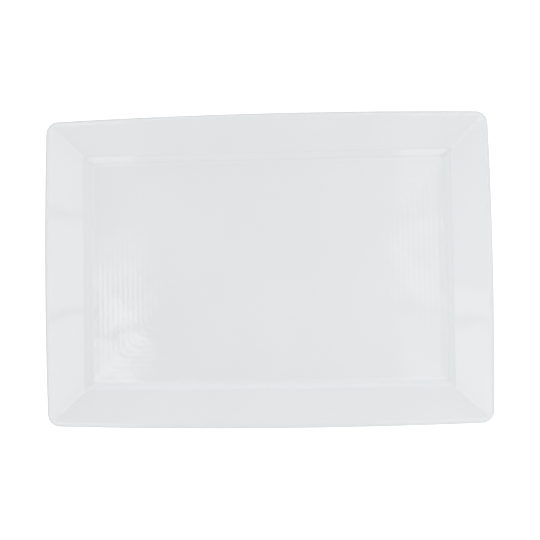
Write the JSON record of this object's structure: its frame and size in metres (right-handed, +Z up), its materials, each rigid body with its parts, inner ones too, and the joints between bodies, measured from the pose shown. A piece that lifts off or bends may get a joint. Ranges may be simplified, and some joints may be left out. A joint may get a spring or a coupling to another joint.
{
  "type": "serving platter",
  "caption": "Rectangular white china serving platter with a shallow flat well, sloped rim panels mitred at the corners, a rolled lip and a foot ring.",
  "frame": {"origin": "middle of the foot ring's footprint, on the table", "axes": "+X along the length, +Y along the width, +Z up, out of the well"},
  "size_m": [0.356, 0.25, 0.022],
  "materials": {
    "bisque": "matte",
    "glaze": "gloss"
  },
  "bodies": {
    "root": {"porcelain_body": "bisque", "face_glaze": "glaze", "base_glaze": "glaze"}
  },
  "joints": []
}
